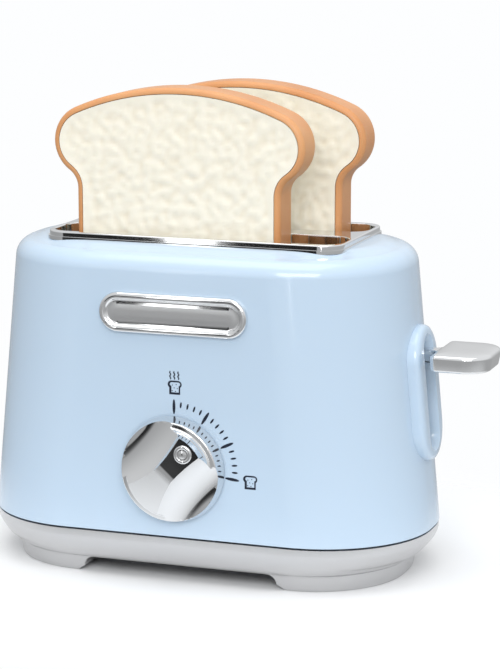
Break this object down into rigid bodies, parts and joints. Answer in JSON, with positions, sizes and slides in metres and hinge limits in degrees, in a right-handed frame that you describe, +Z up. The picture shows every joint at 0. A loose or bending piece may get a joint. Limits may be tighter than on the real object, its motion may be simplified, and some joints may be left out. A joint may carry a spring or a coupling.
{
  "type": "toy toaster",
  "caption": "Rounded toy toaster with lift-out slices of toast, a sprung side lever, a turning dial on the front and chrome slot trim on a skirted base with a foot round each end.",
  "frame": {"origin": "on the floor under the middle of the whole outline, lever and dial included", "axes": "+Z up, +X towards the lever, -Y towards the dial and the viewer"},
  "size_m": [0.1982, 0.1024, 0.1835],
  "materials": {
    "light_blue_plastic": "glossy moulded plastic, light blue",
    "chrome": "bright chrome plating on moulded plastic",
    "satin_silver": "satin silver lacquer on moulded plastic",
    "dark_plastic": "plain moulded plastic, inside piece",
    "steel": "plain bright steel",
    "toast_crust": "matt moulded plastic, toasted brown",
    "toast_crumb": "matt moulded plastic, cream"
  },
  "bodies": {
    "case": {"housing": "light_blue_plastic", "slot_trim": "chrome", "badge_plate": "chrome", "lever_bezel": "light_blue_plastic", "base_skirt": "satin_silver", "bottom_plate": "dark_plastic", "housing_screws": "steel", "guide_rods": "steel", "stop_rings": "dark_plastic", "front_guard": "dark_plastic", "centre_guard": "dark_plastic", "rear_guard": "dark_plastic", "dial_bush": "dark_plastic", "catch_spring": "steel", "click_spring": "steel", "return_spring_left": "steel", "return_spring_right": "steel"},
    "carriage": {"carriage": "dark_plastic", "striker": "steel", "lever_arm": "steel", "lever_handle": "chrome", "lever_screws": "steel"},
    "dial": {"dial_knob": "chrome", "dial_shaft": "steel", "click_wheel": "dark_plastic", "release_cam": "dark_plastic", "shaft_clip": "steel"},
    "front_slice": {"front_slice_crust": "toast_crust", "front_slice_near_face": "toast_crumb", "front_slice_far_face": "toast_crumb"},
    "rear_slice": {"rear_slice_crust": "toast_crust", "rear_slice_near_face": "toast_crumb", "rear_slice_far_face": "toast_crumb"}
  },
  "joints": [
    {"name": "lever_slide", "type": "slide", "parent": "case", "child": "carriage", "axis": [0, 0, 1], "range_m": [-0.03, 0], "stiffness_N_per_m": 60, "springref_m": 0.06, "deforming": ["return_spring_left", "return_spring_right", "catch_spring"]},
    {"name": "front_slice_lift", "type": "slide", "parent": "carriage", "child": "front_slice", "axis": [0, 0, 1], "range_m": [0, 0.09]},
    {"name": "rear_slice_lift", "type": "slide", "parent": "carriage", "child": "rear_slice", "axis": [0, 0, 1], "range_m": [0, 0.09]},
    {"name": "dial_turn", "type": "hinge", "parent": "case", "child": "dial", "pos_m": [-0.01158, -0.03477, 0.0445], "axis": [0, 1, 0], "range_deg": [-42, 55], "deforming": ["click_spring"]}
  ]
}
